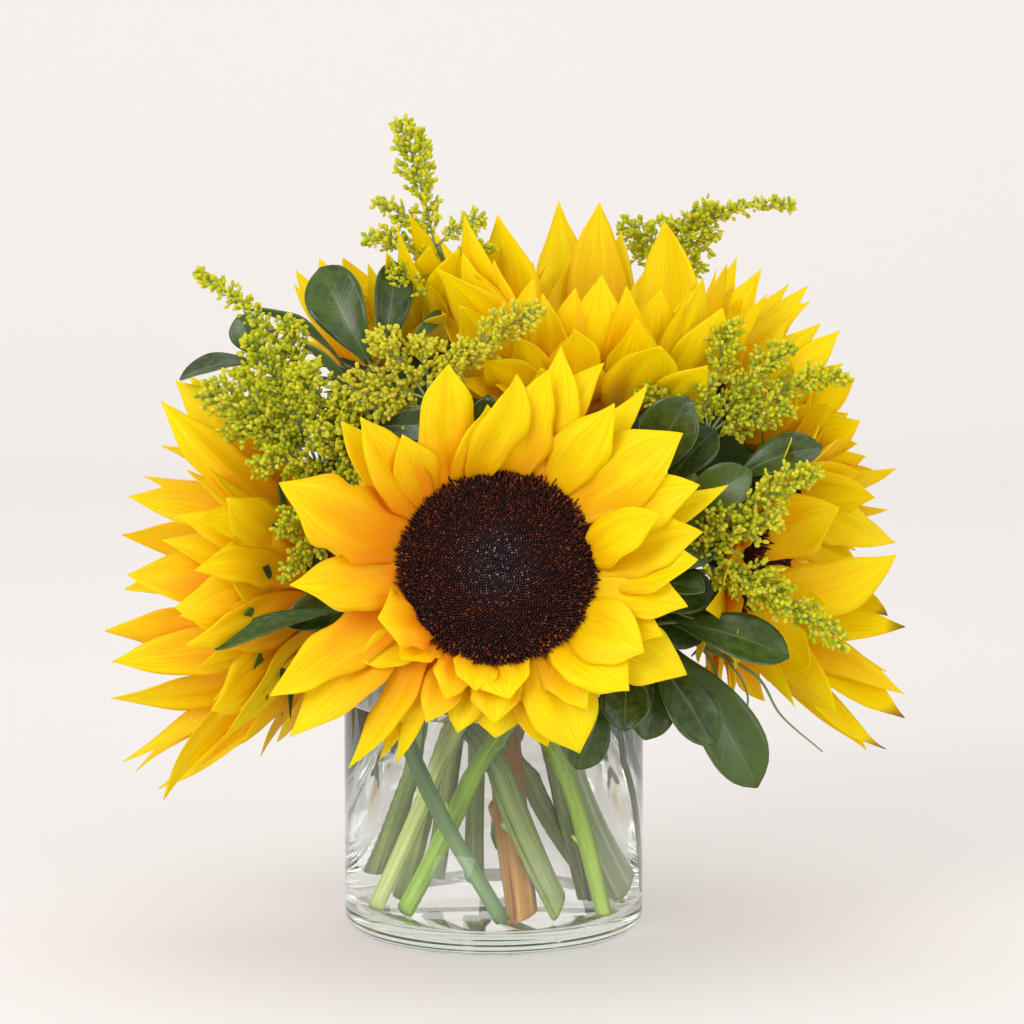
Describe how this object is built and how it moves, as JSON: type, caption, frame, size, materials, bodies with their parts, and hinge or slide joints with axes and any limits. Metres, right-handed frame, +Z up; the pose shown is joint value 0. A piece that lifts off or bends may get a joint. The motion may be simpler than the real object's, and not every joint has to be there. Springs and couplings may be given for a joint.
{
  "type": "sunflowers in a glass vase",
  "caption": "Bouquet of sunflowers, goldenrod and glossy leaf sprigs standing in a clear glass cylinder vase of water, for a table or shelf.",
  "frame": {"origin": "the centre of the vase's flat underside", "axes": "+Z up the vase's axis, -Y to the front of the bouquet, +X to its right as seen from the front"},
  "size_m": [0.3385, 0.2723, 0.35],
  "materials": {
    "glass": "clear pressed soda-lime glass, polished",
    "water": "clear still water",
    "petals": "soft satin petal, lemon at the tip and golden at the root",
    "disc": "matt, velvety brown florets",
    "calyx": "matt, downy green bracts",
    "stems": "ribbed green stem, wet below the water line",
    "goldenrod": "matt yellow-green buds on thin green stalks",
    "twigs": "thin green-brown bark",
    "leaves": "glossy dark green leaf with a pale midrib"
  },
  "bodies": {
    "root": {"vase": "glass", "water": "water", "front_sunflower_disc": "disc", "front_sunflower_petals": "petals", "front_sunflower_calyx": "calyx", "front_sunflower_stem": "stems", "left_sunflower_disc": "disc", "left_sunflower_petals": "petals", "left_sunflower_calyx": "calyx", "left_sunflower_stem": "stems", "top_sunflower_disc": "disc", "top_sunflower_petals": "petals", "top_sunflower_calyx": "calyx", "top_sunflower_stem": "stems", "top_left_sunflower_disc": "disc", "top_left_sunflower_petals": "petals", "top_left_sunflower_calyx": "calyx", "top_left_sunflower_stem": "stems", "top_right_sunflower_disc": "disc", "top_right_sunflower_petals": "petals", "top_right_sunflower_calyx": "calyx", "top_right_sunflower_stem": "stems", "right_sunflower_disc": "disc", "right_sunflower_petals": "petals", "right_sunflower_calyx": "calyx", "right_sunflower_stem": "stems", "top_goldenrod": "goldenrod", "centre_goldenrod": "goldenrod", "left_goldenrod": "goldenrod", "top_right_goldenrod": "goldenrod", "right_goldenrod": "goldenrod", "low_right_goldenrod": "goldenrod", "back_goldenrod": "goldenrod", "back_left_goldenrod": "goldenrod", "left_sprig_twig": "twigs", "left_sprig_tall_leaf": "leaves", "left_sprig_upright_leaf": "leaves", "left_sprig_edgewise_leaf": "leaves", "left_sprig_inner_leaf": "leaves", "left_sprig_shiny_leaf": "leaves", "left_sprig_outer_leaf": "leaves", "right_sprig_twig": "twigs", "right_sprig_far_leaf": "leaves", "right_sprig_long_leaf": "leaves", "right_sprig_high_leaf": "leaves", "right_sprig_round_leaf": "leaves", "low_sprig_twig": "twigs", "low_sprig_side_leaf": "leaves", "low_sprig_wide_leaf": "leaves", "low_sprig_hanging_leaf": "leaves", "low_sprig_lowest_leaf": "leaves", "low_sprig_under_leaf": "leaves", "low_sprig_middle_leaf": "leaves", "low_sprig_tucked_leaf": "leaves", "back_sprig_twig": "twigs", "back_sprig_crown_leaf": "leaves", "back_sprig_west_leaf": "leaves", "back_sprig_east_leaf": "leaves", "back_sprig_low_leaf": "leaves", "left_blade_leaf": "leaves"}
  },
  "joints": []
}
